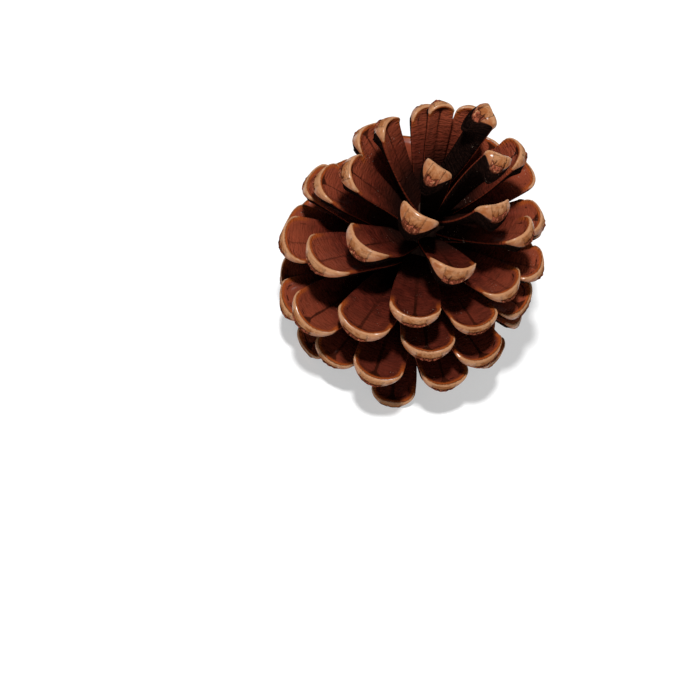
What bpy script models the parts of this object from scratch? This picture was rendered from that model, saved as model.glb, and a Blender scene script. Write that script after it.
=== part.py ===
"""Open pine cone, dry and fully spread, standing on the ends of its lowest scales.

A pine cone grows as one woody piece: a spindle-shaped axis, and scales that leave it one after another,
each turned by the same angle from the last. Every scale is a thin blade that widens outwards and ends in
a thick shield (the apophysis) with a cross ridge. Here the scales are numbered from the tip down.

Metres, +Z up. The origin is under the middle of the cone's box, on the surface that it stands on.
"""

import math
import random

import bmesh
import bpy
import numpy as np
from mathutils import Vector

MM = 0.001

# The spiral
FIRST_SCALE = -1
LAST_SCALE = 65
FIRST_AZIMUTH = 143.6  # degrees from +X, of scale 0
TURN = 137.33  # degrees between one scale and the next, clockwise going down
AXIS_X = 0.21 * MM  # the cone's axis in the box
AXIS_Y = 2.06 * MM

# The cone's form. Each row holds, for one scale number: how far its end stands out from the axis and how
# high it is, the height of its root, the slope of its end in degrees, its width, and its shield's depth
# (millimetres; scales between two rows lie between them)
FORM = (
    (-1, -5.1, 73.4, 44.0, 99, 5.6, 4.6),
    (0, 9.4, 64.8, 42.5, 76, 5.8, 4.2),
    (5, 16.6, 60.0, 38.5, 60, 7.5, 4.5),
    (10, 21.7, 53.0, 34.5, 44, 9.4, 4.6),
    (15, 25.0, 45.4, 30.5, 28, 10.5, 4.2),
    (20, 28.3, 38.2, 27.0, 12, 11.2, 3.1),
    (26, 30.3, 32.0, 23.0, 3, 11.7, 3.0),
    (33, 31.3, 25.6, 18.5, -4, 12.3, 3.0),
    (41, 32.0, 17.8, 14.0, -14, 12.1, 3.0),
    (50, 29.6, 10.4, 9.5, -28, 11.0, 2.9),
    (58, 25.0, 4.4, 6.5, -42, 9.4, 2.8),
    (65, 14.5, 3.4, 4.6, -48, 6.2, 2.6),
)
LONG_SIDE = -100.0  # degrees, the side where the scales grew longer
LONGER = 1.2 * MM

# Scales that grew off the even spiral: degrees turned, millimetres outwards, millimetres upwards,
# degrees twisted about their own length
STRAYS = {
    -1: (-62, 0, 1.2, 0),
    0: (-9, 1.2, 0.8, -8),
    1: (-43, 0, 8.5, -35),
    2: (27, -3.2, 2, 0),
    3: (3, 0, -0.2, 2),
    4: (5.5, 1, 1.2, -2),
    5: (1, 0.4, 0.2, -3),
    6: (-2, -0.2, 0.6, -8),
    7: (2, -1, 1, 0),
    8: (0.5, -1, -0.4, 1),
    9: (-3, 0.4, -2, 4),
    10: (-1.5, 1, 1.2, 3),
    11: (-5, -1.6, -2.4, 0),
    12: (-3, 0.2, 0.4, -5),
    13: (3, 0.5, -0.5, 0),
    14: (-2.5, 1.4, -4, -2),
    15: (1, -0.6, 0.6, 0),
    17: (3, 0, -3.4, 10),
    18: (0.5, -0.6, -0.6, 4),
    19: (0, 1.8, 1.2, -1),
    20: (4, 0.6, -0.6, 7),
    22: (-3.5, -1.6, -0.2, -5),
    23: (7, 0.2, 1.2, 8),
    25: (0.5, -1.4, 0.2, 3),
    26: (6, -1, 0, 5),
    28: (4, 1.4, -0.6, 1),
    30: (3.5, -2.4, -0.4, 1),
    31: (1.5, 0.6, -0.4, -1),
    33: (0.5, -1.6, 1, 7),
    36: (1, 1, -0.6, -4),
    38: (-3, -1, -0.2, -5),
    39: (1, -1.6, -0.2, 0),
    41: (1, 1, -0.5, 0),
    43: (2, -2, 0, 0),
    44: (4, 0.2, -0.8, 0),
}
SEED = 7
STRAY_SLOPE = 4.0  # degrees, largest random change of a scale's slope
STRAY_TWIST = 6.0  # degrees, largest random turn of a scale about its own length
STRAY_WIDTH = 0.05  # share of the width

# One scale
ROOT_DEPTH = 1.6 * MM  # distance from the cone's axis to where the blade starts, inside the core
ROOT_WIDTH = 3.6 * MM
ROOT_THICK = 1.7 * MM
BLADE_THICK = 1.2 * MM
BLADE_THINNED = 0.5  # share of the length where the blade has thinned to that
CURL = 0.5  # share of the reach over which the end keeps its slope
SPINE_GAIN = 1.02  # a curved spine's length against the straight reach
WIDENING = 1.7  # power, the larger the sooner the blade reaches its full width
ROUND_END = 0.66  # how far the end is rounded, share of half the width
CUPPED = 0.11  # how far the blade's sides stand above its middle, share of its width
CUP_GROWTH = 1.5  # power, the larger the nearer to the end the cupping starts
SHIELD_START = 0.70  # share of the length where the blade starts to thicken into its shield
SHIELD_SIDES = 1.5  # power, the larger the sooner the shield thins out to its sides
KEEL_OUT = 0.5 * MM  # the cross ridge stands out this far past the upper rim
KEEL_DOWN = 0.72  # the ridge's place down the shield
UNDER_BACK = 2.0 * MM  # the shield's lower edge lies this far behind the ridge
UMBO_OUT = 0.25 * MM
UMBO_HALF = math.radians(25)
LIP_HIGH = 0.6 * MM  # the rounded end's rim stands this far above the face
LIP_START = 0.5  # share of the length where the rim starts to rise
BLADE_ROWS = 3
BLADE_COLUMNS = 6
OUTER_ROW = 0.99  # the grid runs from -1 at the root to 1 at the outer end

# A shield faces outwards more than its scale does: it leans back under the scale, the more the steeper the
# scale stands (degrees)
LEVEL_SLANT = 12.0
SLANT_PER_SLOPE = 0.45
LEAST_SLANT = 5.0
MOST_SLANT = 40.0

# The axis that carries them
CORE_LOW = 3.0 * MM
CORE_HIGH = 46.0 * MM
CORE_RADIUS = 5.6 * MM
CORE_SIDES = 12
CORE_RINGS = 8
CORE_THIN_TOP = 0.25  # share of the radius that is lost towards the tip

# The scales whose ends the cone stands on, and how much of each end is worn flat there
SEAT_SCALES = (54, 55, 56, 57, 58, 59, 60)
SEAT_WORN = 0.5 * MM
SAME_POINT = 0.0005 * MM  # corners closer than this are one corner

BARK_BROWN = (0.16, 0.045, 0.02, 1.0)
BARK_ROUGHNESS = 0.6


def clear_scene():
    for thing in list(bpy.data.objects):
        bpy.data.objects.remove(thing, do_unlink=True)


def form_at(number):
    """The row of FORM for a scale number, between its two nearest rows."""
    rows = np.array(FORM, dtype=float)
    return [float(np.interp(number, rows[:, 0], rows[:, column])) for column in range(1, 7)]


class Scale:
    """Where one scale starts and ends, how it curves, and how wide and thick it is."""

    def __init__(self, number, chance):
        out, high, root_high, slope, width, depth = form_at(number)
        turned, outwards, upwards, twisted = STRAYS.get(number, (0, 0, 0, 0))
        self.azimuth = math.radians(FIRST_AZIMUTH - TURN * number + turned)
        self.twist = math.radians(twisted + chance.uniform(-STRAY_TWIST, STRAY_TWIST))
        self.width = width * MM * (1 + chance.uniform(-STRAY_WIDTH, STRAY_WIDTH))
        self.depth = depth * MM
        slope = math.radians(slope + chance.uniform(-STRAY_SLOPE, STRAY_SLOPE))
        self.start = Vector((ROOT_DEPTH, root_high * MM))
        longer = LONGER * math.cos(self.azimuth - math.radians(LONG_SIDE))
        self.end = Vector(((out + outwards) * MM + longer, (high + upwards) * MM))
        reach = (self.end - self.start).length
        self.bend = self.end - Vector((math.cos(slope), math.sin(slope))) * reach * CURL
        self.length = reach * SPINE_GAIN
        slant = LEVEL_SLANT + math.degrees(slope) * SLANT_PER_SLOPE
        self.lean = math.tan(math.radians(min(max(slant, LEAST_SLANT), MOST_SLANT)))

    def spine(self, share):
        """The point and the upward normal at a share of the length, as (outwards, up) pairs."""
        left = 1 - share
        point = self.start * left**2 + self.bend * (2 * left * share) + self.end * share**2
        along = ((self.bend - self.start) * left + (self.end - self.bend) * share).normalized()
        return point, Vector((-along.y, along.x))

    def place(self, share, side, down):
        """A point of the scale in space: share of its length, metres to the side, metres below its face."""
        point, normal = self.spine(share)
        turn = self.twist * min(max(share, 0), 1)
        across = side * math.cos(turn) + down * math.sin(turn)
        lift = side * math.sin(turn) - down * math.cos(turn)
        flat = point + normal * lift
        outwards = Vector((math.cos(self.azimuth), math.sin(self.azimuth)))
        sideways = Vector((-outwards.y, outwards.x))
        spot = outwards * flat.x + sideways * across
        return Vector((spot.x + AXIS_X, spot.y + AXIS_Y, flat.y))


def eased(value):
    value = min(max(value, 0.0), 1.0)
    return value * value * (3 - 2 * value)


def scale_point(scale, along, angle, level):
    """Maps the plain grid onto a scale: along runs 0 to 1, angle -90 to 90 degrees across, level 1 is the
    upper face, 0 the ridge of the shield and -1 the underside."""
    middle = math.cos(angle)
    half_root = ROOT_WIDTH / 2
    half_full = scale.width / 2
    half = half_root + (half_full - half_root) * (1 - (1 - along) ** WIDENING)
    rounding = ROUND_END * half_full
    reach = (scale.length - rounding) * along + rounding * along**2 * middle
    blade = ROOT_THICK + (BLADE_THICK - ROOT_THICK) * min(along / BLADE_THINNED, 1)
    swelling = eased((along - SHIELD_START) / (1 - SHIELD_START)) * middle**SHIELD_SIDES
    thick = blade + (scale.depth - blade) * swelling
    cup = -CUPPED * scale.width * math.sin(angle) ** 2 * along**CUP_GROWTH
    lean = scale.lean * thick * swelling
    if level > 0:
        down = cup - LIP_HIGH * eased((along - LIP_START) / (1 - LIP_START)) * middle
        reach -= KEEL_OUT * swelling
    elif level == 0:
        down = cup + thick * KEEL_DOWN
        reach += UMBO_OUT * max(0.0, 1 - abs(angle) / UMBO_HALF) - lean * KEEL_DOWN
    else:
        down = cup + thick
        reach -= UNDER_BACK * swelling + lean
    return scale.place(reach / scale.length, half * math.sin(angle), down)


def scale_mesh(scale):
    """A grid, extruded to a slab, with one more row along its outer wall, mapped onto the scale."""
    slab = bmesh.new()
    bmesh.ops.create_grid(slab, x_segments=BLADE_COLUMNS, y_segments=BLADE_ROWS, size=1)
    raised = bmesh.ops.extrude_face_region(slab, geom=slab.faces[:])["geom"]
    for vertex in raised:
        if isinstance(vertex, bmesh.types.BMVert):
            vertex.co.z = 1
    for vertex in slab.verts:
        if vertex.co.z < 0.5:
            vertex.co.z = -1
    outer_wall = [e for e in slab.edges
                  if e.verts[0].co.z != e.verts[1].co.z and min(v.co.y for v in e.verts) > OUTER_ROW]
    bmesh.ops.subdivide_edges(slab, edges=outer_wall, cuts=1)
    for vertex in slab.verts:
        along = (vertex.co.y + 1) / 2
        angle = vertex.co.x * math.pi / 2
        level = round(vertex.co.z)
        vertex.co = scale_point(scale, along, angle, level)
    bmesh.ops.triangulate(slab, faces=slab.faces[:])
    bmesh.ops.recalc_face_normals(slab, faces=slab.faces[:])
    return slab


def seat(slab, scale):
    """Bends a scale's outer half up or down until its lowest point is just below the surface."""
    lowest = min(vertex.co.z for vertex in slab.verts)
    shift = -SEAT_WORN - lowest
    full = (scale.end - scale.start).x
    for vertex in slab.verts:
        outwards = math.hypot(vertex.co.x - AXIS_X, vertex.co.y - AXIS_Y) - scale.start.x
        vertex.co.z += shift * eased(outwards / full)


def add_object(name, mesh_in_making, collection):
    mesh = bpy.data.meshes.new(name)
    mesh_in_making.to_mesh(mesh)
    mesh_in_making.free()
    thing = bpy.data.objects.new(name, mesh)
    collection.objects.link(thing)
    return thing


def make_core(collection):
    """The woody axis: a spindle, thickest below its middle."""
    spindle = bmesh.new()
    bmesh.ops.create_uvsphere(spindle, u_segments=CORE_SIDES, v_segments=CORE_RINGS, radius=1)
    middle = (CORE_HIGH + CORE_LOW) / 2
    half = (CORE_HIGH - CORE_LOW) / 2
    for vertex in spindle.verts:
        thin_top = 1 - CORE_THIN_TOP * max(0.0, vertex.co.z)
        vertex.co.x = vertex.co.x * CORE_RADIUS * thin_top + AXIS_X
        vertex.co.y = vertex.co.y * CORE_RADIUS * thin_top + AXIS_Y
        vertex.co.z = vertex.co.z * half + middle
    bmesh.ops.triangulate(spindle, faces=spindle.faces[:])
    return add_object("pine_cone", spindle, collection)


def make_scales(collection):
    chance = random.Random(SEED)
    for number in range(FIRST_SCALE, LAST_SCALE + 1):
        scale = Scale(number, chance)
        slab = scale_mesh(scale)
        if number in SEAT_SCALES:
            seat(slab, scale)
        add_object(f"scale_{number - FIRST_SCALE:02d}", slab, collection)


def fuse(core, scales):
    """Grows the scales and the axis together into one closed body."""
    union = core.modifiers.new("grown_together", "BOOLEAN")
    union.operation = "UNION"
    union.operand_type = "COLLECTION"
    union.collection = scales
    union.solver = "EXACT"
    bpy.context.view_layer.update()
    evaluated = core.evaluated_get(bpy.context.evaluated_depsgraph_get())
    grown = bpy.data.meshes.new_from_object(evaluated)
    core.modifiers.clear()
    core.data = grown
    for scale in list(scales.objects):
        bpy.data.objects.remove(scale, do_unlink=True)


def wear_seat_flat(cone):
    """Cuts the lowest ends level with the surface and closes the cuts."""
    body = bmesh.new()
    body.from_mesh(cone.data)
    bmesh.ops.remove_doubles(body, verts=body.verts[:], dist=SAME_POINT)
    cut = bmesh.ops.bisect_plane(body, geom=body.verts[:] + body.edges[:] + body.faces[:],
                                 plane_co=(0, 0, 0), plane_no=(0, 0, -1), clear_outer=True)
    rims = [item for item in cut["geom_cut"] if isinstance(item, bmesh.types.BMEdge)]
    bmesh.ops.holes_fill(body, edges=rims, sides=0)
    bmesh.ops.triangulate(body, faces=body.faces[:])
    body.to_mesh(cone.data)
    body.free()


def finish_material(cone):
    bark = bpy.data.materials.new("dry_scale_wood")
    bark.use_nodes = True
    shader = bark.node_tree.nodes["Principled BSDF"]
    shader.inputs["Base Color"].default_value = BARK_BROWN
    shader.inputs["Roughness"].default_value = BARK_ROUGHNESS
    shader.inputs["Metallic"].default_value = 0.0
    cone.data.materials.clear()
    cone.data.materials.append(bark)


def build():
    clear_scene()
    parts = bpy.data.collections.new("pine cone")
    scales = bpy.data.collections.new("scales")
    bpy.context.scene.collection.children.link(parts)
    bpy.context.scene.collection.children.link(scales)
    cone = make_core(parts)
    make_scales(scales)
    fuse(cone, scales)
    bpy.data.collections.remove(scales)
    wear_seat_flat(cone)
    finish_material(cone)


build()
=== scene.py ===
"""Looks of an open, dry pine cone: its scales with their tan shields, and the axis that carries them."""

import math
import random
from types import SimpleNamespace

import bmesh
import bpy
import numpy as np
from mathutils import Matrix, Vector


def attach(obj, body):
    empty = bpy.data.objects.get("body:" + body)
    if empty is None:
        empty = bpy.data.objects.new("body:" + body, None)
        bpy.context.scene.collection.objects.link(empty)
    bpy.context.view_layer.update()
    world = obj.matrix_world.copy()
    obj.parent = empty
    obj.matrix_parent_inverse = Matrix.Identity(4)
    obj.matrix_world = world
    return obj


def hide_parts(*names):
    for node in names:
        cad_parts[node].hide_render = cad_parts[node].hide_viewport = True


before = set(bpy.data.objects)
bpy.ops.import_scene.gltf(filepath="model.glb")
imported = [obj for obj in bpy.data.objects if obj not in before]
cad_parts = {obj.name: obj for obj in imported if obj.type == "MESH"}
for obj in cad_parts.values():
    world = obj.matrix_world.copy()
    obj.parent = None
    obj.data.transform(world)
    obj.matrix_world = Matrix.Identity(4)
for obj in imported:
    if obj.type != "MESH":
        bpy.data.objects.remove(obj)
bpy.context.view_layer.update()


# The woody scales
# A pine cone's scales grow one after another round its axis, each turned by the same angle from the last.
# Each is a thin blade of wood that widens outwards, cupped, with two shallow beds where seeds lay, and it
# ends in a thick tan shield with a cross ridge and a small boss. Dry, they spread and lay the inside bare.

MM = 0.001
# Each piece's scales, numbered from the cone's tip down: the first one, and the one after the last
SCALE_RUNS = {
    "tip_scales": (-1, 16),
    "upper_scales": (16, 33),
    "lower_scales": (33, 50),
    "base_scales": (50, 66),
}
FIRST_AZIMUTH = 143.6  # degrees, of scale 0
TURN = 137.33  # degrees from one scale to the next
AXIS_X = 0.21 * MM
AXIS_Y = 2.06 * MM

# Scale number, how far its end stands out, how high it is, its root's height, the slope of its end in
# degrees, its width, its shield's depth (millimetres)
FORM = np.array([
    (-1, -5.1, 73.4, 44.0, 99, 5.6, 4.6),
    (0, 9.4, 64.8, 42.5, 76, 5.8, 4.2),
    (5, 16.6, 60.0, 38.5, 60, 7.5, 4.5),
    (10, 21.7, 53.0, 34.5, 44, 9.4, 4.6),
    (15, 25.0, 45.4, 30.5, 28, 10.5, 4.2),
    (20, 28.3, 38.2, 27.0, 12, 11.2, 3.1),
    (26, 30.3, 32.0, 23.0, 3, 11.7, 3.0),
    (33, 31.3, 25.6, 18.5, -4, 12.3, 3.0),
    (41, 32.0, 17.8, 14.0, -14, 12.1, 3.0),
    (50, 29.6, 10.4, 9.5, -28, 11.0, 2.9),
    (58, 25.0, 4.4, 6.5, -42, 9.4, 2.8),
    (65, 14.5, 3.4, 4.6, -48, 6.2, 2.6),
])
LONG_SIDE = -100.0  # degrees, the side where the scales grew longer
LONGER = 1.2 * MM
ARC_LONGER = 1.02  # a scale's bowed length against the straight line from its root to its end
LAST_BEAKED = 26  # scales nearer the tip than this have beaked shields
BEAK_FADES = 16
LEAST_BEAK = 0.15

# Scales that grew off the even spiral: degrees turned, millimetres outwards, millimetres upwards,
# degrees twisted about their own length
STRAYS = {
    -1: (-60, -0.3, 0.4, 0),
    0: (-9, 1.2, 0.8, -8),
    1: (-43, 0, 8.5, -35),
    2: (27, -3.2, 2, 0),
    3: (-1, 0, 0.8, 2),
    4: (5.5, 1, 1.2, -2),
    5: (-2.5, 0.2, -0.4, -7),
    6: (-2, -0.2, 0.6, -8),
    7: (0.3, -1, 1, 0),
    8: (-0.9, -1, -0.4, 1),
    9: (-3, 1.5, -2, 4),
    10: (-5, 0.4, 0.4, -12),
    11: (-5, -1.6, -2.4, 0),
    12: (-1.8, 0.5, 0.4, -5),
    13: (3, -0.5, -0.5, 0),
    14: (-2.5, 1.4, -4, -2),
    15: (-0.8, -0.6, 0.6, 0),
    17: (3, 0, -3.4, 10),
    18: (-1.2, -0.4, -0.9, 1),
    19: (0, 1.8, 1.2, -1),
    20: (4, 0.6, -0.6, 7),
    22: (-3.5, -0.5, -0.2, -5),
    23: (7, 1.3, 2.1, 8),
    25: (2.3, -1.4, 0.2, 3),
    26: (6, -1, 0, 5),
    28: (2.9, 1.4, -0.3, 1),
    30: (3.5, -1.7, -0.4, 1),
    31: (1.5, 0.6, -0.4, -1),
    33: (0.5, -1.6, 1, 7),
    34: (0, -2, 0, 0),
    35: (5, -1.5, 0.8, 0),
    36: (1, 2.2, -0.6, -4),
    38: (-3, -1, -0.2, -5),
    39: (1, -1.6, -0.2, 0),
    41: (1, 1, -0.5, 0),
    43: (2, -2, 0, 0),
    44: (4, 0.2, -0.8, 0),
}
# Scales with a fuller shield than the rule gives: their share of its width and of its depth
FULLER = {
    -1: (1.18, 1.0),
    2: (1.08, 1.18),
    4: (1.14, 1.0),
    6: (1.1, 1.0),
    7: (1.14, 1.25),
    12: (1.05, 1.15),
    15: (1.1, 1.15),
    20: (1.0, 1.15),
    23: (1.12, 1.1),
    28: (1.1, 1.1),
    33: (1.0, 1.2),
    36: (1.05, 1.1),
}
SEED = 7
STRAY_SLOPE = 4.0  # degrees
STRAY_TWIST = 6.0  # degrees
STRAY_WIDTH = 0.05  # share of the width
DETAIL_SEED = 21

ROOT_DEPTH = 1.6 * MM  # from the cone's axis to where the blade starts
ROOT_WIDTH = 3.6 * MM
ROOT_THICK = 1.7 * MM
BLADE_THICK = 1.2 * MM
SHIELD_START = 0.70  # share of the length where the blade starts to thicken
KEEL_OUT = 0.5 * MM  # the cross ridge stands out this far past the upper rim
KEEL_DOWN = 0.72  # the ridge's place down the shield
UNDER_BACK = 2.0 * MM
LEVEL_SLANT = 12.0  # degrees that the shield of a level scale leans back under it
SLANT_PER_SLOPE = 0.45
LEAST_SLANT = 5.0
MOST_SLANT = 40.0
LIP_HIGH = 0.6 * MM
LIP_WIDE = 1.7  # millimetres
CUPPED = 0.11  # share of the width
BOSS_HALF = 0.27  # share of the width
SHADED_SIDE = -72.0  # degrees, the side of the cone whose faces get painted shade
NOT_NARROW = 10.5 * MM  # the width from which a scale's face has the wide scales' colours
NARROW_FADES = 4 * MM
GRAIN_STEP = 7.3  # millimetres that the grain's patterns move on from one scale to the next
ROUND_END = 0.66  # how far the end is rounded, against half the width
ROUNDER_TIP = 0.3  # how much rounder the ends near the cone's tip are
EDGE_ROUND = 0.42 * MM
SEAT_SCALES = (54, 55, 56, 57, 58, 59, 60)
SEAT_WORN = 0.5 * MM

# Relief of the face
EDGE_RIPPLE = 0.03  # share of the half width
END_WAVER = 0.16 * MM
BED_DEPTH = 0.22 * MM
BED_INSIDE = 1.5  # millimetres from the edge to where the seed beds start
GROOVE_DEPTH = 0.22 * MM
GROOVE_HALF = 0.3 * MM
WAVE_DEPTH = 0.12 * MM

# Relief of the shield and the back
SHIELD_BULGE = 0.2 * MM
RIDGE_HIGH = 0.12 * MM
RIDGE_LEVELS = 0.13
BOSS_ASTRAY = 1.2 * MM
CREASE_LEVEL = 0.3  # 1 is the rim, 0 the cross ridge
CREASE_LEVELS = 0.07
CREASE_DEPTH = 0.3 * MM
LOW_LIP_LEVEL = 0.1
LOW_LIP_LEVELS = 0.11
LOW_LIP_HIGH = 0.4 * MM
PRICKLE_HALF = 0.24 * MM
PRICKLE_HIGH = 0.4 * MM
BEAK_HALF = 2.2 * MM
BEAK_HIGH = 0.45 * MM
SHIELD_RIB = 0.02 * MM
BACK_RIB = 0.12 * MM

COLUMNS = 44
ROWS = 34
ROWS_TO_SHIELD = 1.25  # above 1, the blade's rows crowd towards the shield
SHIELD_ROWS = 22
ROWS_TO_KEEL = 1.5  # above 1, the shield's rows crowd towards its keel
ON_FLAT = 0.999  # a level past this is on the face or, below zero, on the back


def eased(value):
    value = np.clip(value, 0.0, 1.0)
    return value * value * (3 - 2 * value)


def hump(value, width):
    """1 where value is 0, falling smoothly to 0 a few widths away."""
    return np.exp(-(value / width) ** 2)


def plain_slab():
    """A slab of the grid that every scale is shaped from: x across, y along, z from underside to face."""
    slab = bmesh.new()
    bmesh.ops.create_grid(slab, x_segments=COLUMNS, y_segments=ROWS, size=1)
    for vertex in slab.verts:
        vertex.co.z = -1
    raised = bmesh.ops.extrude_face_region(slab, geom=slab.faces[:])["geom"]
    raised_points = [part for part in raised if isinstance(part, bmesh.types.BMVert)]
    bmesh.ops.translate(slab, vec=(0, 0, 2), verts=raised_points)
    wall = [e for e in slab.edges
            if abs(e.verts[0].co.z - e.verts[1].co.z) > 1 and min(v.co.y for v in e.verts) > ON_FLAT]
    bmesh.ops.subdivide_edges(slab, edges=wall, cuts=SHIELD_ROWS - 1)
    bmesh.ops.triangulate(slab, faces=[f for f in slab.faces if len(f.verts) > 4])
    bmesh.ops.recalc_face_normals(slab, faces=slab.faces[:])
    bmesh.ops.reverse_faces(slab, faces=slab.faces[:])  # shaping it mirrors it back
    return slab


def scale_plan(number, chance):
    """The main sizes of one scale, with the same draws as the solid it stands for."""
    out, high, root_high, slope, width, depth = (
        float(np.interp(number, FORM[:, 0], FORM[:, column])) for column in range(1, 7))
    turned, outwards, upwards, twisted = STRAYS.get(number, (0, 0, 0, 0))
    azimuth = math.radians(FIRST_AZIMUTH - TURN * number + turned)
    twist = math.radians(twisted + chance.uniform(-STRAY_TWIST, STRAY_TWIST))
    wider, deeper = FULLER.get(number, (1, 1))
    width = width * wider * MM * (1 + chance.uniform(-STRAY_WIDTH, STRAY_WIDTH))
    slope = math.radians(slope + chance.uniform(-STRAY_SLOPE, STRAY_SLOPE))
    start = np.array((ROOT_DEPTH, root_high * MM))
    longer = LONGER * math.cos(azimuth - math.radians(LONG_SIDE))
    end = np.array(((out + outwards) * MM + longer, (high + upwards) * MM))
    reach = float(np.linalg.norm(end - start))
    bend = end - np.array((math.cos(slope), math.sin(slope))) * reach * 0.5
    slant = np.clip(LEVEL_SLANT + math.degrees(slope) * SLANT_PER_SLOPE, LEAST_SLANT, MOST_SLANT)
    return {
        "number": number,
        "azimuth": azimuth,
        "twist": twist,
        "width": width,
        "depth": depth * deeper * MM,
        "slant": math.tan(math.radians(slant)),
        "start": start,
        "bend": bend,
        "end": end,
        "length": reach * ARC_LONGER,
        "beaked": float(np.clip((LAST_BEAKED - number) / BEAK_FADES, LEAST_BEAK, 1)),
    }


def scale_outline(plan, across_share, along, luck):
    """The outline as seen on the face: how far out and how far aside each point of the slab goes."""
    angle = across_share * math.pi / 2
    half_full = plan["width"] / 2
    ripple = 1 + EDGE_RIPPLE * np.sin(along * (5 + 4 * luck[0]) + 6 * luck[1]) * np.sign(across_share)
    half = (ROOT_WIDTH / 2 + (half_full - ROOT_WIDTH / 2) * (1 - (1 - along) ** 1.7)) * ripple
    round_length = ROUND_END * half_full * (1 + ROUNDER_TIP * plan["beaked"])
    shoulder = plan["length"] - round_length
    reach = shoulder * along + round_length * along**2 * np.cos(angle)
    reach += END_WAVER * np.sin(2.3 * angle + 9 * luck[5]) * along**6
    side = half * np.sin(angle)
    beyond = np.maximum(reach - shoulder, 0)
    ring = np.hypot(beyond / round_length, side / half_full)
    steep = np.hypot(beyond / round_length**2, side / half_full**2) + 1
    inside = np.where(reach > shoulder, (1 - ring) * ring / steep, half - np.abs(side))
    return reach, side, np.maximum(inside, 0), shoulder


def face_relief(reach, side, inside, along, luck):
    """How deep the face lies: two seed beds, the groove between them, and slow waves of dry wood."""
    inside = inside / MM
    bed = eased((inside - BED_INSIDE) / 0.9) * eased((along - 0.25) / 0.3)
    groove = hump(side, GROOVE_HALF) * eased((along - 0.3) / 0.15) * eased((inside - 0.9) / 0.6)
    wave_across = np.sin(side / MM * (0.7 + luck[2]) + 5 * luck[3])
    wave_along = np.sin(reach / MM * (0.25 + 0.3 * luck[4]) + 6 * luck[5])
    return BED_DEPTH * bed + GROOVE_DEPTH * groove + WAVE_DEPTH * wave_across * wave_along * eased(inside)


def shield_relief(plan, side, level, middle, swelling, luck):
    """How far the shield stands out, from its rim over the cross ridge and the boss to its lower edge."""
    upper = np.clip(level, 0, 1)
    lower = np.clip(-level, 0, 1)
    side_mm = side / MM
    aside = side - BOSS_ASTRAY * (luck[6] - 0.5)
    boss = np.exp(-(aside / (BOSS_HALF * plan["width"])) ** 4) * swelling
    waver = 0.05 * np.sin(side_mm * 1.3 + 9 * luck[4]) + 0.03 * np.sin(side_mm * 3.7 + 5 * luck[1])
    below = level - CREASE_LEVEL - waver
    lumps = 0.85 + 0.3 * np.sin(side_mm * 4.3 + 8 * luck[2]) * np.sin(level * 14 + 7 * luck[3])
    out = -(KEEL_OUT * upper**1.6 + UNDER_BACK * lower**1.4) * swelling
    out += SHIELD_BULGE * np.sin(np.pi * upper) * middle
    out += RIDGE_HIGH * hump(level, RIDGE_LEVELS) * middle
    out -= CREASE_DEPTH * hump(below, CREASE_LEVELS) * boss
    out += LOW_LIP_HIGH * hump(below + CREASE_LEVEL - LOW_LIP_LEVEL, LOW_LIP_LEVELS) * boss * lumps
    out += PRICKLE_HIGH * hump(aside, PRICKLE_HALF) * hump(level + 0.05, 0.09) * plan["beaked"]
    beak = np.sin(np.pi * np.clip((1 - level) / 1.6, 0, 1))
    out += BEAK_HIGH * hump(aside, BEAK_HALF) * beak * plan["beaked"] * swelling
    ribs = np.sin(side_mm * 3.1 + 9 * luck[7]) * np.sin(np.pi * np.clip(level + 0.4, 0, 1))
    out += SHIELD_RIB * ribs * middle
    return out, boss, below, aside


def bent_points(plan, share, side, down):
    """Bends the flat scale along its curve, twists it, and turns it to its place on the spiral."""
    along = share[:, None]
    left = 1 - along
    line = plan["start"] * left**2 + plan["bend"] * (2 * left * along) + plan["end"] * along**2
    run = (plan["bend"] - plan["start"]) * left + (plan["end"] - plan["bend"]) * along
    run /= np.linalg.norm(run, axis=1)[:, None]
    turn = plan["twist"] * np.clip(share, 0, 1)
    sideways = side * np.cos(turn) + down * np.sin(turn)
    lift = side * np.sin(turn) - down * np.cos(turn)
    outwards = line[:, 0] - run[:, 1] * lift
    height = line[:, 1] + run[:, 0] * lift
    cosine, sine = math.cos(plan["azimuth"]), math.sin(plan["azimuth"])
    points = np.stack([outwards * cosine - sideways * sine + AXIS_X,
                       outwards * sine + sideways * cosine + AXIS_Y, height], axis=1)
    if plan["number"] in SEAT_SCALES:
        bent = eased((outwards - plan["start"][0]) / (plan["end"] - plan["start"])[0])
        points[:, 2] += (-SEAT_WORN - height.min()) * bent
    points[:, 2] = np.maximum(points[:, 2], 0)
    return points


def crack_distances(aside, level, luck):
    """Millimetres from two wandering lines down the shield, the second on only some of the scales."""
    low_half = level - 0.2
    first = aside / MM + 0.9 + (1.6 * luck[1] - 0.6) * low_half + 0.3 * np.sin(5 * level + 9 * luck[2])
    second = aside / MM - 1.1 - (1.8 * luck[3] - 0.5) * low_half + 0.3 * np.sin(4 * level + 9 * luck[4])
    return first, second + 9 * (luck[5] < 0.5)


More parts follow.
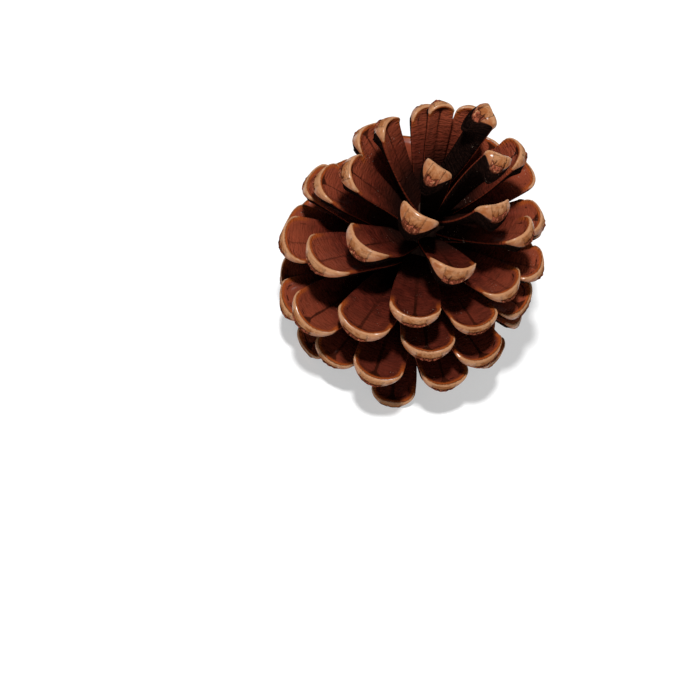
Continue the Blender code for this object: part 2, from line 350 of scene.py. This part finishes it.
def shape_scale(plan, grid, detail):
    """Shapes the slab's points into one scale. Returns the points and the marks that its colours follow."""
    across_share = grid[:, 0]
    along = 1 - (1 - (grid[:, 1] + 1) / 2) ** ROWS_TO_SHIELD
    level = np.sign(grid[:, 2]) * np.abs(grid[:, 2]) ** ROWS_TO_KEEL
    angle = across_share * math.pi / 2
    middle = np.cos(angle)
    half_full = plan["width"] / 2
    luck = detail.random(8)
    reach, side, inside, shoulder = scale_outline(plan, across_share, along, luck)

    blade = ROOT_THICK + (BLADE_THICK - ROOT_THICK) * np.minimum(along * 2, 1)
    swelling = eased((along - SHIELD_START) / (1 - SHIELD_START)) * middle**1.5
    thick = blade + (plan["depth"] - blade) * swelling
    cup = -CUPPED * plan["width"] * np.sin(angle) ** 2 * along**1.5
    edge = np.clip(1 - inside / EDGE_ROUND, 0, 1)
    rounding = EDGE_ROUND * (1 - np.sqrt(np.maximum(1 - edge**2, 0)))
    lip = LIP_HIGH * (1 - eased((inside / MM - 0.2) / (LIP_WIDE - 0.2)))
    lip *= eased((reach - shoulder) / half_full + 0.4)

    fall = np.where(level > 0, KEEL_DOWN * (1 - level), KEEL_DOWN - (1 - KEEL_DOWN) * level)
    leaning = plan["slant"] * thick * swelling
    shield_out, boss, below, aside = shield_relief(plan, side, level, middle, swelling, luck)
    face_down = cup - lip + rounding + face_relief(reach, side, inside, along, luck)
    wall_down = cup - lip + EDGE_ROUND + (thick + lip - 2 * EDGE_ROUND) * fall
    back_ribs = BACK_RIB * np.cos(side / MM * 2.2) * eased(along / 0.3) * eased(inside / MM)
    back_down = cup + thick - rounding + back_ribs

    on_face = level > ON_FLAT
    on_back = level < -ON_FLAT
    on_wall = ~(on_face | on_back)
    down = np.where(on_face, face_down, np.where(on_back, back_down, wall_down))
    back_out = -UNDER_BACK * swelling - leaning
    wall_out = shield_out - leaning * fall
    reach = reach + np.where(on_face, -KEEL_OUT * swelling, np.where(on_back, back_out, wall_out))
    share = reach / plan["length"]
    points = bent_points(plan, share, side, down)

    everywhere = np.ones(len(level))
    crack_first, crack_second = crack_distances(aside, level, luck)
    # Faces towards that side get painted shade: dimmer and less orange, with a stronger rib
    side_shade = max(0.0, math.cos(plan["azimuth"] - math.radians(SHADED_SIDE))) ** 3
    narrow = float(np.clip((NOT_NARROW - plan["width"]) / NARROW_FADES, 0, 1))
    marks = {
        "boss": boss,
        "crease": below,
        "crack_first": crack_first,
        "crack_second": crack_second,
        "dark_side": side_shade * everywhere,
        "inside": np.where(on_wall, 0, inside) / MM,
        "side": side / MM,
        "outward": share,
        "tip": (reach - shoulder) / half_full,
        "level": level,
        "luck": luck[0] * everywhere,
        "narrow": narrow * everywhere,
    }
    over_rim = np.where(on_wall, (thick + lip) * fall, 0)
    grain = np.stack([side / MM, (reach + over_rim) / MM, plan["number"] * GRAIN_STEP * everywhere], axis=1)
    return points, marks, grain


def grow_scales(name, numbers, plans, slab, grid, detail):
    """One piece of the cone: a run of neighbouring scales."""
    whole = bmesh.new()
    template = bpy.data.meshes.new("slab")
    slab.to_mesh(template)
    for _ in numbers:
        whole.from_mesh(template)
    mesh = bpy.data.meshes.new(name)
    whole.to_mesh(mesh)
    whole.free()
    bpy.data.meshes.remove(template)
    shaped = [shape_scale(plans[number], grid, detail) for number in numbers]
    mesh.vertices.foreach_set("co", np.concatenate([s[0] for s in shaped]).astype(np.float32).ravel())
    for mark in shaped[0][1]:
        layer = mesh.attributes.new(mark, "FLOAT", "POINT")
        layer.data.foreach_set("value", np.concatenate([s[1][mark] for s in shaped]).astype(np.float32))
    layer = mesh.attributes.new("grain", "FLOAT_VECTOR", "POINT")
    layer.data.foreach_set("vector", np.concatenate([s[2] for s in shaped]).astype(np.float32).ravel())
    mesh.update()
    mesh.shade_smooth()
    piece = bpy.data.objects.new(name, mesh)
    bpy.context.scene.collection.objects.link(piece)
    return piece


draws = random.Random(SEED)
detail_draws = np.random.default_rng(DETAIL_SEED)
plans = {number: scale_plan(number, draws) for run in SCALE_RUNS.values() for number in range(*run)}
slab = plain_slab()
grid = np.array([vertex.co[:] for vertex in slab.verts])
scale_pieces = [grow_scales(name, range(*run), plans, slab, grid, detail_draws)
                for name, run in SCALE_RUNS.items()]
slab.free()

# The face's own dark tone, also used for its painted shade on one side of the cone
FACE_DARK_AND_SHADE = (0.034, 0.0055, 0.0036, 1)
FACE_RED = (0.132, 0.0195, 0.0105, 1)
FACE_ORANGE = (0.25, 0.052, 0.024, 1)
# Painted shade, near black, deep between the scales towards the root
ROOT_SHADE = (0.014, 0.0045, 0.0032, 1)
BAND_ORANGE = (0.30, 0.060, 0.010, 1)
SHIELD_TAN = (0.33, 0.122, 0.044, 1)
# Pale tan of the shield, also its painted highlight along the rim
SHIELD_PALE_AND_HIGHLIGHT = (0.455, 0.22, 0.107, 1)
SHIELD_BROWN = (0.25, 0.070, 0.020, 1)
BOSS_BROWN = (0.10, 0.026, 0.012, 1)
BOSS_RED = (0.33, 0.085, 0.045, 1)
# Dark of the cracks, and of the painted shade in the boss's crease
CRACK_AND_SHADE_DARK = (0.045, 0.010, 0.005, 1)
SIDE_DARK = (0.018, 0.006, 0.0045, 1)
SIDE_RED = (0.16, 0.028, 0.013, 1)
# The underside's own dark brown, painted near black as shade
BACK_SHADE_DARK = (0.005, 0.0026, 0.0021, 1)
BACK_SHADE_BROWN = (0.018, 0.007, 0.005, 1)
# Dark of the middle rib, and of the lip's painted shadow
LINE_AND_SHADOW_DARK = (0.018, 0.004, 0.002, 1)
DUST = (0.45, 0.34, 0.26, 1)
BAND_INSIDE = 1.25  # millimetres from the edge to the orange band's inner side
LIP_SHADOW_INSIDE = 1.6
FLARE_INSIDE = 2.9
CRACK_HALF_LEAST = 0.06  # millimetres
CRACK_HALF_MOST = 0.2
BAND_STRENGTH = 0.8
LINE_STRENGTH = 0.92
BROWN_STRENGTH = 0.85
CREASE_SHADE_STRENGTH = 0.8
CRACK_STRENGTH = 0.9
DUST_STRENGTH = 0.75
SHIELD_POLISH = 0.8
FACE_POLISH = 0.06
POLISH_ROUGHNESS = 0.22
WOOD_ROUGHNESS = 0.55
WOOD_RELIEF = 0.4 * MM


class Shading:
    """Adds nodes to one material, a call for each."""

    def __init__(self, name):
        self.material = bpy.data.materials.new(name)
        self.material.use_nodes = True
        self.tree = self.material.node_tree
        self.shader = self.tree.nodes["Principled BSDF"]

    def feed(self, socket, value):
        if isinstance(value, bpy.types.NodeSocket):
            self.tree.links.new(value, socket)
        else:
            socket.default_value = value

    def mark(self, name, output="Fac"):
        node = self.tree.nodes.new("ShaderNodeAttribute")
        node.attribute_name = name
        return node.outputs[output]

    def maths(self, operation, *values):
        node = self.tree.nodes.new("ShaderNodeMath")
        node.operation = operation
        for socket, value in zip(node.inputs, values):
            self.feed(socket, value)
        return node.outputs[0]

    def between(self, value, low, high, to_low=0.0, to_high=1.0):
        """Smooth change from to_low at low to to_high at high."""
        node = self.tree.nodes.new("ShaderNodeMapRange")
        node.interpolation_type = "SMOOTHSTEP"
        swap = low > high
        self.feed(node.inputs["Value"], value)
        node.inputs["From Min"].default_value = high if swap else low
        node.inputs["From Max"].default_value = low if swap else high
        node.inputs["To Min"].default_value = to_high if swap else to_low
        node.inputs["To Max"].default_value = to_low if swap else to_high
        return node.outputs["Result"]

    def blend(self, share, first, second):
        node = self.tree.nodes.new("ShaderNodeMix")
        node.data_type = "RGBA"
        self.feed(node.inputs[0], share)
        self.feed(node.inputs[6], first)
        self.feed(node.inputs[7], second)
        return node.outputs[2]

    def stretched(self, vector, stretch):
        node = self.tree.nodes.new("ShaderNodeMapping")
        self.feed(node.inputs["Vector"], vector)
        node.inputs["Scale"].default_value = stretch
        return node.outputs[0]

    def noise(self, vector, scale, detail=3.0, roughness=0.55):
        node = self.tree.nodes.new("ShaderNodeTexNoise")
        self.feed(node.inputs["Vector"], vector)
        node.inputs["Scale"].default_value = scale
        node.inputs["Detail"].default_value = detail
        node.inputs["Roughness"].default_value = roughness
        return node.outputs["Fac"]

    def bump(self, height, distance):
        node = self.tree.nodes.new("ShaderNodeBump")
        self.feed(node.inputs["Height"], height)
        node.inputs["Distance"].default_value = distance
        return node.outputs[0]


def scale_patterns(s):
    """The scales' marks, and the patterns that several of their colours share."""
    names = ("inside", "side", "outward", "tip", "level", "luck", "narrow", "boss", "dark_side",
             "crease", "crack_first", "crack_second")
    m = SimpleNamespace(**{name: s.mark(name) for name in names})
    m.grain = s.mark("grain", "Vector")
    m.mottle = s.noise(m.grain, 0.45, 4)
    m.fine = s.noise(m.grain, 2.8, 5, 0.6)
    m.ripples = s.noise(s.stretched(m.grain, (0.45, 1.7, 1)), 1.0, 3)
    m.streaks = s.noise(s.stretched(m.grain, (2.2, 0.3, 1)), 1.0, 4)
    m.weave = s.noise(s.stretched(m.grain, (0.8, 2.6, 1)), 1.0, 2)
    m.patch = s.noise(m.grain, 0.55, 4, 0.6)
    m.crumbs = s.noise(m.grain, 1.7, 3, 0.6)
    m.uneven = s.maths("SUBTRACT", m.fine, 0.5)
    m.ragged = s.maths("MULTIPLY_ADD", m.uneven, 0.45, m.inside)
    m.on_wall = s.between(m.inside, 0.05, 0.0)
    return m


def face_colour(s, m):
    """Red-brown wood, lighter outwards, with an orange band inside the rim, and painted shade: near black
    towards the root and dimmer on one side of the cone.
    """
    tone = s.maths("ADD", s.maths("MULTIPLY", m.mottle, 0.6), s.maths("MULTIPLY", m.weave, 0.5))
    face = s.blend(s.between(tone, 0.35, 0.78), FACE_DARK_AND_SHADE, FACE_RED)
    orange = s.maths("MULTIPLY_ADD", m.narrow, 0.3, s.between(m.outward, 0.6, 1.0, 0.0, 0.95))
    # Painted shade on one side of the cone: less orange here, and dimmer below
    orange = s.maths("MULTIPLY", orange, s.maths("MULTIPLY_ADD", m.dark_side, -0.8, 1.0))
    face = s.blend(orange, face, FACE_ORANGE)
    face = s.blend(s.maths("MULTIPLY", m.dark_side, 0.5), face, FACE_DARK_AND_SHADE)
    # Painted shade towards the root, where the scales above shade the face
    face = s.blend(s.between(m.outward, 0.3, 0.7), ROOT_SHADE, face)
    face = s.blend(face_lines(s, m), face, LINE_AND_SHADOW_DARK)
    band = s.maths("MULTIPLY", s.between(m.ragged, BAND_INSIDE, 0.6), s.between(m.tip, -0.6, 0.0))
    face = s.blend(s.maths("MULTIPLY", band, BAND_STRENGTH), face, BAND_ORANGE)
    side_wall = s.blend(s.between(m.level, -0.2, 0.4), SIDE_DARK, SIDE_RED)
    return s.blend(m.on_wall, face, side_wall)


def face_lines(s, m):
    """The rib down the middle that flares at its end, and the painted shadow of the lip: a dark line at its
    foot round the seed beds.
    """
    # Painted shadow of the lip: a dark line at its foot, near the scale's end
    lip_shadow = s.maths("ABSOLUTE", s.maths("SUBTRACT", m.ragged, LIP_SHADOW_INSIDE))
    reach = s.maths("MULTIPLY", s.between(m.tip, -0.8, 0.0), s.between(m.mottle, 0.48, 0.6))
    lip_shadow = s.maths("MULTIPLY", s.between(lip_shadow, 0.25, 0.05), reach)
    flare = s.maths("POWER", s.maths("MAXIMUM", s.maths("SUBTRACT", FLARE_INSIDE, m.inside), 0.0), 2.0)
    flare = s.maths("MULTIPLY", flare, s.between(m.luck, 0.0, 1.0, 0.1, 0.4))
    rib = s.maths("MULTIPLY_ADD", s.maths("SUBTRACT", m.streaks, 0.5), 0.7, m.side)
    # On that side the rib is painted wider and stronger as well: painted shade
    rib_half = s.maths("MULTIPLY_ADD", m.dark_side, 0.2, flare)
    rib = s.maths("SUBTRACT", s.maths("ABSOLUTE", rib), rib_half)
    rib = s.between(s.maths("MULTIPLY_ADD", m.uneven, 0.3, rib), 0.3, 0.05)
    rib = s.maths("MULTIPLY", rib, s.between(m.ragged, 0.75, 0.95))
    strength = s.maths("MAXIMUM", s.between(m.luck, 0.2, 0.7, 0.3, 0.95), m.dark_side)
    strength = s.maths("MULTIPLY", strength, s.between(m.outward, 0.5, 0.85, 0.4, 1.0))
    rib = s.maths("MULTIPLY", rib, strength)
    return s.maths("MULTIPLY", s.maths("MAXIMUM", lip_shadow, rib), LINE_STRENGTH)


def shield_colour(s, m):
    """Tan patches, browner towards the cross ridge and the scale's sides, with a pale painted highlight
    along the rim.
    """
    tan = s.blend(s.between(m.patch, 0.38, 0.62), SHIELD_TAN, SHIELD_PALE_AND_HIGHLIGHT)
    brown = s.maths("MAXIMUM", s.between(m.mottle, 0.5, 0.7), s.between(m.tip, 0.25, -0.05, 0.0, 0.7))
    brown = s.maths("MAXIMUM", brown, s.between(m.level, 0.75, 0.2, 0.0, 0.9))
    tan = s.blend(s.maths("MULTIPLY", brown, BROWN_STRENGTH), tan, SHIELD_BROWN)
    # Painted highlight along the shield's rim
    return s.blend(s.between(m.level, 0.8, 0.97, 0.0, 0.8), tan, SHIELD_PALE_AND_HIGHLIGHT)


def with_boss(s, m, colour):
    """Adds the boss: crumbly brown and red skin, below a crease painted dark as shade."""
    below = s.maths("MULTIPLY_ADD", m.uneven, 0.25, m.crease)
    skin = s.blend(s.between(m.crumbs, 0.45, 0.6), BOSS_BROWN, BOSS_RED)
    skin = s.blend(s.between(m.crumbs, 0.62, 0.68), skin, SHIELD_PALE_AND_HIGHLIGHT)
    colour = s.blend(s.maths("MULTIPLY", m.on_boss, s.between(below, 0.05, -0.05)), colour, skin)
    # Painted shade in the crease above the boss
    crease = s.between(s.maths("ABSOLUTE", below), 0.07, 0.02, 0.0, CREASE_SHADE_STRENGTH)
    crease = s.maths("MULTIPLY", s.maths("MULTIPLY", m.on_boss, crease), s.between(m.crumbs, 0.42, 0.5))
    return s.blend(crease, colour, CRACK_AND_SHADE_DARK)


def shield_cracks(s, m):
    """Where the thin drying cracks run down the shield."""
    jitter = s.maths("MULTIPLY", m.uneven, 0.5)
    first = s.maths("ABSOLUTE", s.maths("ADD", m.crack_first, jitter))
    second = s.maths("ABSOLUTE", s.maths("ADD", m.crack_second, jitter))
    half = s.between(m.streaks, 0.3, 0.7, CRACK_HALF_LEAST, CRACK_HALF_MOST)
    cracks = s.maths("LESS_THAN", s.maths("MINIMUM", first, second), half)
    reach = s.maths("MULTIPLY", s.between(m.level, 0.6, 0.35), s.between(m.level, -0.35, -0.2))
    reach = s.maths("MULTIPLY", reach, s.between(m.patch, 0.4, 0.5))
    return s.maths("MULTIPLY", cracks, s.maths("MULTIPLY", reach, m.on_wall))


def with_dust(s, m, colour):
    """Adds pale specks in loose clusters."""
    clusters = s.between(s.noise(m.grain, 0.28, 2), 0.58, 0.66)
    speck = s.maths("MULTIPLY", s.between(s.noise(m.grain, 3.6, 2, 0.4), 0.69, 0.72), clusters)
    return s.blend(s.maths("MULTIPLY", speck, DUST_STRENGTH), colour, DUST)


def scale_relief(s, m, shield, cracks):
    """Fine grain, wrinkles across the face, sunk cracks and the boss's crumbs."""
    wrinkles = s.maths("MULTIPLY", m.ripples, s.maths("MULTIPLY_ADD", m.narrow, 0.2, 1.2))
    wrinkles = s.maths("MULTIPLY_ADD", m.weave, 0.9, wrinkles)
    wrinkles = s.maths("MULTIPLY", wrinkles, s.maths("SUBTRACT", 1.0, shield))
    relief = s.maths("ADD", s.maths("MULTIPLY", m.fine, 0.45), wrinkles)
    relief = s.maths("ADD", relief, s.maths("MULTIPLY", m.streaks, 0.3))
    relief = s.maths("SUBTRACT", relief, s.maths("MULTIPLY", cracks, 0.8))
    return s.maths("ADD", relief, s.maths("MULTIPLY", m.on_boss, s.maths("MULTIPLY", m.crumbs, 1.6)))


def scale_material():
    """Red-brown wood, an orange band inside the rim, a tan shield, and a dark brown underside painted near
    black as shade.
    """
    s = Shading("scale_wood")
    m = scale_patterns(s)
    ragged_boss = s.maths("MULTIPLY_ADD", m.fine, 0.5, m.boss)
    m.on_boss = s.maths("MULTIPLY", s.between(ragged_boss, 0.6, 0.8), m.on_wall)
    rim = s.maths("MULTIPLY", s.between(m.ragged, 0.5, 0.25), s.between(m.tip, -0.12, 0.08))
    shield = s.maths("MULTIPLY", rim, s.between(m.level, -0.2, 0.0))
    # The underside and the shield's lower part: dark brown wood painted near black as shade
    shaded_underside = s.between(m.level, -0.18, -0.4)
    cracks = shield_cracks(s, m)

    colour = s.blend(shield, face_colour(s, m), shield_colour(s, m))
    colour = with_boss(s, m, colour)
    colour = s.blend(s.maths("MULTIPLY", cracks, CRACK_STRENGTH), colour, CRACK_AND_SHADE_DARK)
    colour = s.blend(shaded_underside, colour, s.blend(s.between(m.fine, 0.4, 0.75), BACK_SHADE_DARK, BACK_SHADE_BROWN))
    s.feed(s.shader.inputs["Base Color"], with_dust(s, m, colour))
    s.feed(s.shader.inputs["Roughness"], s.maths("MULTIPLY_ADD", m.uneven, 0.3, WOOD_ROUGHNESS))

    # Only the natural varnish of resin shines, most on the shields
    dull = s.maths("MAXIMUM", s.maths("MAXIMUM", shaded_underside, cracks), m.on_boss)
    polish = s.maths("MULTIPLY", shield, s.between(m.patch, 0.3, 0.7, 0.2, SHIELD_POLISH))
    polish = s.maths("MAXIMUM", polish, s.between(m.outward, 0.5, 0.8, 0.0, FACE_POLISH))
    s.feed(s.shader.inputs["Specular IOR Level"], 0.0)
    s.feed(s.shader.inputs["Coat Weight"], s.maths("MULTIPLY", polish, s.maths("SUBTRACT", 1.0, dull)))
    s.feed(s.shader.inputs["Coat Roughness"], POLISH_ROUGHNESS)
    s.feed(s.shader.inputs["Normal"], s.bump(scale_relief(s, m, shield, cracks), WOOD_RELIEF))
    return s.material


wood = scale_material()
for piece in scale_pieces:
    piece.data.materials.append(wood)
    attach(piece, "root")
    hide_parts("pine_cone")


# The axis
# A slim woody spindle, grown in one with the scales, so their roots run into it. Only its end shows, deep
# between the top scales and under the base, where the stalk broke off and left a rough round scar.

CORE_LOW = 3.0 * MM
CORE_HIGH = 46.0 * MM
CORE_RADIUS = 5.6 * MM
CORE_BROWN = (0.045, 0.014, 0.007, 1)
CORE_GREY = (0.11, 0.055, 0.033, 1)
CORE_ROUGH = 0.05  # share of the radius
CORE_TAPER = 0.25
FIBRE_SCALE = 900  # per metre
FIBRE_STRETCH = (1, 1, 0.3)
FIBRE_RELIEF = 0.4 * MM


def axis_piece():
    spindle = bmesh.new()
    bmesh.ops.create_uvsphere(spindle, u_segments=48, v_segments=40, radius=1)
    middle = (CORE_HIGH + CORE_LOW) / 2
    half = (CORE_HIGH - CORE_LOW) / 2
    for vertex in spindle.verts:
        x, y, z = vertex.co
        angle = math.atan2(y, x)
        rough = 1 + CORE_ROUGH * math.sin(9 * angle + 31 * z) * math.sin(13 * z - 2 * angle)
        thin_top = 1 - CORE_TAPER * max(0.0, z)
        vertex.co.x = x * CORE_RADIUS * thin_top * rough + AXIS_X
        vertex.co.y = y * CORE_RADIUS * thin_top * rough + AXIS_Y
        vertex.co.z = z * half + middle
    mesh = bpy.data.meshes.new("cone_axis")
    spindle.to_mesh(mesh)
    spindle.free()
    mesh.shade_smooth()
    piece = bpy.data.objects.new("cone_axis", mesh)
    bpy.context.scene.collection.objects.link(piece)
    return piece


def axis_material():
    """Dark, fibrous wood with greyer ridges."""
    s = Shading("axis_wood")
    place = s.tree.nodes.new("ShaderNodeTexCoord").outputs["Object"]
    fibres = s.noise(s.stretched(place, FIBRE_STRETCH), FIBRE_SCALE, 5)
    s.feed(s.shader.inputs["Base Color"], s.blend(s.between(fibres, 0.35, 0.7), CORE_BROWN, CORE_GREY))
    s.feed(s.shader.inputs["Roughness"], s.between(fibres, 0.2, 0.8, 0.85, 0.6))
    s.feed(s.shader.inputs["Normal"], s.bump(fibres, FIBRE_RELIEF))
    return s.material


axis = axis_piece()
axis.data.materials.append(axis_material())
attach(axis, "root")
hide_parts("pine_cone")


# The plain floor, the studio light and the camera
# None of these is part of the cone. The floor is a sheet of pale paper that glows a little, so that the
# cone's shadow on it stays light, under one small lamp overhead and two weak broad ones.

FLOOR_HALF = 3.0
FLOOR_WHITE = (0.55, 0.55, 0.55, 1)
FLOOR_GLOW = 0.45
FLOOR_ROUGHNESS = 0.9
LAMP_AIM = (0, 0, 0.03)
# Each lamp's place, its width and its power in watts
LAMPS = {
    "key_light": ((-0.13, -0.21, 0.86), 0.08, 8.8),
    "front_light": ((0.25, -0.6, 0.6), 0.4, 0.8),
    "back_light": ((0.15, 0.7, 0.4), 0.5, 0.9),
}
WORLD_LIGHT = 0.085
WORLD_SEEN = 0.5  # as pale as the floor is far off, so that low views show no horizon


def make_floor():
    sheet = bmesh.new()
    bmesh.ops.create_grid(sheet, x_segments=1, y_segments=1, size=FLOOR_HALF)
    mesh = bpy.data.meshes.new("floor")
    sheet.to_mesh(mesh)
    sheet.free()
    floor = bpy.data.objects.new("floor", mesh)
    bpy.context.scene.collection.objects.link(floor)
    s = Shading("floor_paper")
    s.shader.inputs["Base Color"].default_value = FLOOR_WHITE
    s.shader.inputs["Roughness"].default_value = FLOOR_ROUGHNESS
    s.shader.inputs["Emission Color"].default_value = (1, 1, 1, 1)
    s.shader.inputs["Emission Strength"].default_value = FLOOR_GLOW
    mesh.materials.append(s.material)


def make_lamp(name, place, size, power):
    lamp = bpy.data.lights.new(name, "AREA")
    lamp.shape = "DISK"
    lamp.size = size
    lamp.energy = power
    thing = bpy.data.objects.new(name, lamp)
    thing.location = place
    thing.rotation_euler = (Vector(LAMP_AIM) - Vector(place)).to_track_quat("-Z", "Y").to_euler()
    bpy.context.scene.collection.objects.link(thing)


make_floor()
for lamp_name, (place, size, power) in LAMPS.items():
    make_lamp(lamp_name, place, size, power)
world = bpy.data.worlds.new("studio")
world.use_nodes = True
backdrop = world.node_tree.nodes["Background"].inputs
backdrop["Color"].default_value = (1, 1, 1, 1)
strength = world.node_tree.nodes.new("ShaderNodeMapRange")
strength.inputs["To Min"].default_value = WORLD_LIGHT
strength.inputs["To Max"].default_value = WORLD_SEEN
seen = world.node_tree.nodes.new("ShaderNodeLightPath").outputs["Is Camera Ray"]
world.node_tree.links.new(seen, strength.inputs["Value"])
world.node_tree.links.new(strength.outputs["Result"], backdrop["Strength"])
bpy.context.scene.world = world
bpy.context.scene.view_settings.view_transform = "Standard"

# The photograph looks down on the cone's near side, with the camera turned a little about its own line
CAMERA_RISE = math.radians(49.9)
CAMERA_ROLL = math.radians(-22.6)
CAMERA_AWAY = 0.45
SENSOR_WIDTH = 36  # millimetres
CLIP_START = 0.01
LOOK_MIDDLE = Vector((AXIS_X, AXIS_Y, 36.4 * MM))
PHOTO_PIXELS = 700
PIXELS_PER_METRE = 4430
MIDDLE_RIGHT_PIXELS = 78.6  # where the cone's middle lies from the picture's middle
MIDDLE_UP_PIXELS = 132.0

back = Vector((0, -math.cos(CAMERA_RISE), math.sin(CAMERA_RISE)))
level_up = Vector((0, math.sin(CAMERA_RISE), math.cos(CAMERA_RISE)))
level_right = Vector((1, 0, 0))
right = level_right * math.cos(CAMERA_ROLL) - level_up * math.sin(CAMERA_ROLL)
up = level_right * math.sin(CAMERA_ROLL) + level_up * math.cos(CAMERA_ROLL)
eye = LOOK_MIDDLE + back * CAMERA_AWAY
aim = LOOK_MIDDLE - (right * MIDDLE_RIGHT_PIXELS + up * MIDDLE_UP_PIXELS) / PIXELS_PER_METRE
camera_z = (eye - aim).normalized()
camera_x = up.cross(camera_z).normalized()
camera_y = camera_z.cross(camera_x)
camera = bpy.data.objects.new("camera", bpy.data.cameras.new("camera"))
camera.matrix_world = Matrix.Translation(eye) @ Matrix((camera_x, camera_y, camera_z)).transposed().to_4x4()
camera.data.sensor_width = SENSOR_WIDTH
camera.data.lens = PIXELS_PER_METRE * CAMERA_AWAY * SENSOR_WIDTH / PHOTO_PIXELS
camera.data.clip_start = CLIP_START
bpy.context.scene.collection.objects.link(camera)
bpy.context.scene.camera = camera
